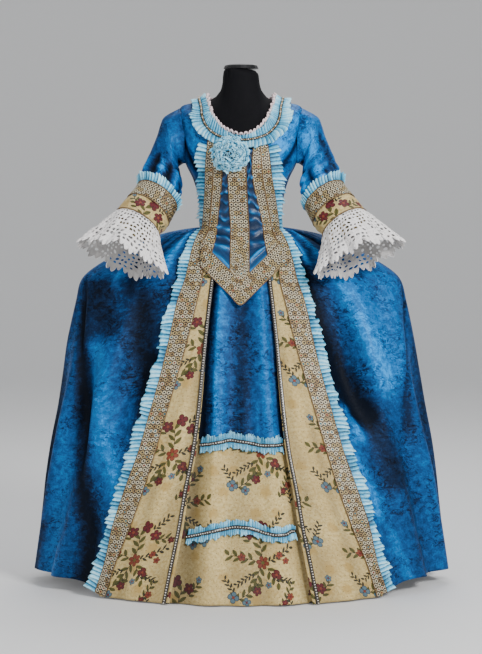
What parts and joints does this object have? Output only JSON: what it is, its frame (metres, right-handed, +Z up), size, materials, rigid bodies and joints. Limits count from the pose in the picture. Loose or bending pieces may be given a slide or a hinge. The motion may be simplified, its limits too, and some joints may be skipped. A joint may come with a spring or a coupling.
{
  "type": "ball gown on a dress form",
  "caption": "Full-length ball gown with side panniers, trimmed robe front, elbow sleeves and lace flounces, standing on a limbless dress form.",
  "frame": {"origin": "on the floor, under the middle of the gown's box", "axes": "+Z up, the front of the gown faces -Y, and right in a node's name is +X, the right of the picture"},
  "size_m": [1.1816, 0.8259, 1.4673],
  "materials": {
    "velvet": "crushed royal blue velvet",
    "satin": "ruched blue satin",
    "frill": "pleated pale blue satin ribbon",
    "braid": "openwork gold braid with cream, brown and teal flecks",
    "brocade": "cream brocade with woven flower sprays",
    "lace": "heavy white guipure lace",
    "form": "smooth black cover",
    "metal": "black satin paint"
  },
  "bodies": {
    "root": {"bodice_back": "velvet", "bodice_front_left": "velvet", "bodice_front_right": "velvet", "sleeve_left": "velvet", "sleeve_right": "velvet", "overskirt_left": "velvet", "overskirt_right": "velvet", "overskirt_back": "velvet", "petticoat_velvet": "velvet", "stomacher": "satin", "frill_neck": "frill", "frill_robe_left": "frill", "frill_robe_right": "frill", "frill_petticoat_upper": "frill", "frill_petticoat_lower": "frill", "cuff_frill_left": "frill", "cuff_frill_right": "frill", "rosette": "frill", "braid_centre": "braid", "braid_stomacher_left": "braid", "braid_stomacher_right": "braid", "braid_point": "braid", "braid_robe_left": "braid", "braid_robe_right": "braid", "cuff_braid_left": "braid", "cuff_braid_right": "braid", "panel_left": "brocade", "panel_right": "brocade", "petticoat_brocade": "brocade", "cuff_band_left": "brocade", "cuff_band_right": "brocade", "lace_front_left": "lace", "lace_back_left": "lace", "lace_front_right": "lace", "lace_back_right": "lace", "form_body": "form", "form_neck_cap": "metal", "stand_pole": "metal", "stand_base": "metal"}
  },
  "joints": []
}
